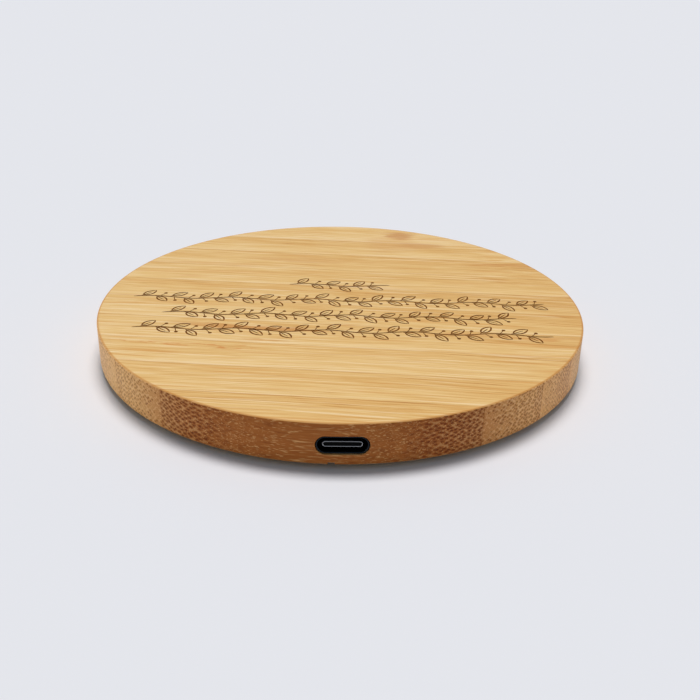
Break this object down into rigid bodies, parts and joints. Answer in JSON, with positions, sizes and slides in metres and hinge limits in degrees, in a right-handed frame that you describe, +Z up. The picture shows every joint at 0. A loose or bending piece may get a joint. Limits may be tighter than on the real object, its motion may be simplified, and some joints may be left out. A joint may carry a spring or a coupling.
{
  "type": "wireless charging pad",
  "caption": "Round solid-bamboo wireless charging pad with a USB-C socket in its rim, a flush bottom cover on rubber feet, and its coil and circuit board inside.",
  "frame": {"origin": "middle of the pad, on the surface that its feet stand on", "axes": "+Z up, out of the charging face; -Y out of the USB-C socket; +X to the right as seen from the socket's side"},
  "size_m": [0.1, 0.1, 0.009],
  "materials": {
    "bamboo": "fine straight-grained, oiled satin, scorched engraving",
    "black_plastic": "fine moulded texture",
    "rubber": "matt silicone",
    "screw_steel": "zinc-plated",
    "label_film": "blank satin silver film",
    "solder_mask": "semi-gloss green",
    "copper_wire": "varnished litz strands",
    "ferrite": "matt dark grey sintered ferrite",
    "adhesive": "double-sided adhesive film",
    "foam": "matt closed-cell foam",
    "polyimide": "amber tape",
    "shell_metal": "black-plated, satin",
    "midplate_metal": "bright stamped steel",
    "contact_gold": "gold-plated",
    "chip_epoxy": "matt moulded epoxy",
    "capacitor_ceramic": "matt ceramic with tinned ends",
    "thermistor_bead": "glassy amber bead",
    "led_lens": "milky clear epoxy"
  },
  "bodies": {
    "root": {"bamboo_housing": "bamboo", "board_screw_1": "screw_steel", "board_screw_2": "screw_steel", "bottom_cover": "black_plastic", "bridge_ic": "chip_epoxy", "charging_coil": "copper_wire", "coil_adhesive": "adhesive", "controller_ic": "chip_epoxy", "cover_screw_1": "screw_steel", "cover_screw_2": "screw_steel", "cover_screw_3": "screw_steel", "cover_screw_4": "screw_steel", "ferrite_shield": "ferrite", "filter_inductor": "ferrite", "foam_pad": "foam", "foot_1": "rubber", "foot_2": "rubber", "foot_3": "rubber", "foot_4": "rubber", "input_capacitor_1": "capacitor_ceramic", "input_capacitor_2": "capacitor_ceramic", "lead_tape": "polyimide", "main_board": "solder_mask", "rating_label": "label_film", "resonant_capacitor_1": "capacitor_ceramic", "resonant_capacitor_2": "capacitor_ceramic", "resonant_capacitor_3": "capacitor_ceramic", "resonant_capacitor_4": "capacitor_ceramic", "sense_resistor": "chip_epoxy", "status_led": "led_lens", "thermistor": "thermistor_bead", "usb_contact_1": "contact_gold", "usb_contact_2": "contact_gold", "usb_contact_3": "contact_gold", "usb_contact_4": "contact_gold", "usb_contact_5": "contact_gold", "usb_contact_6": "contact_gold", "usb_insulator": "black_plastic", "usb_midplate": "midplate_metal", "usb_shell": "shell_metal"}
  },
  "joints": []
}
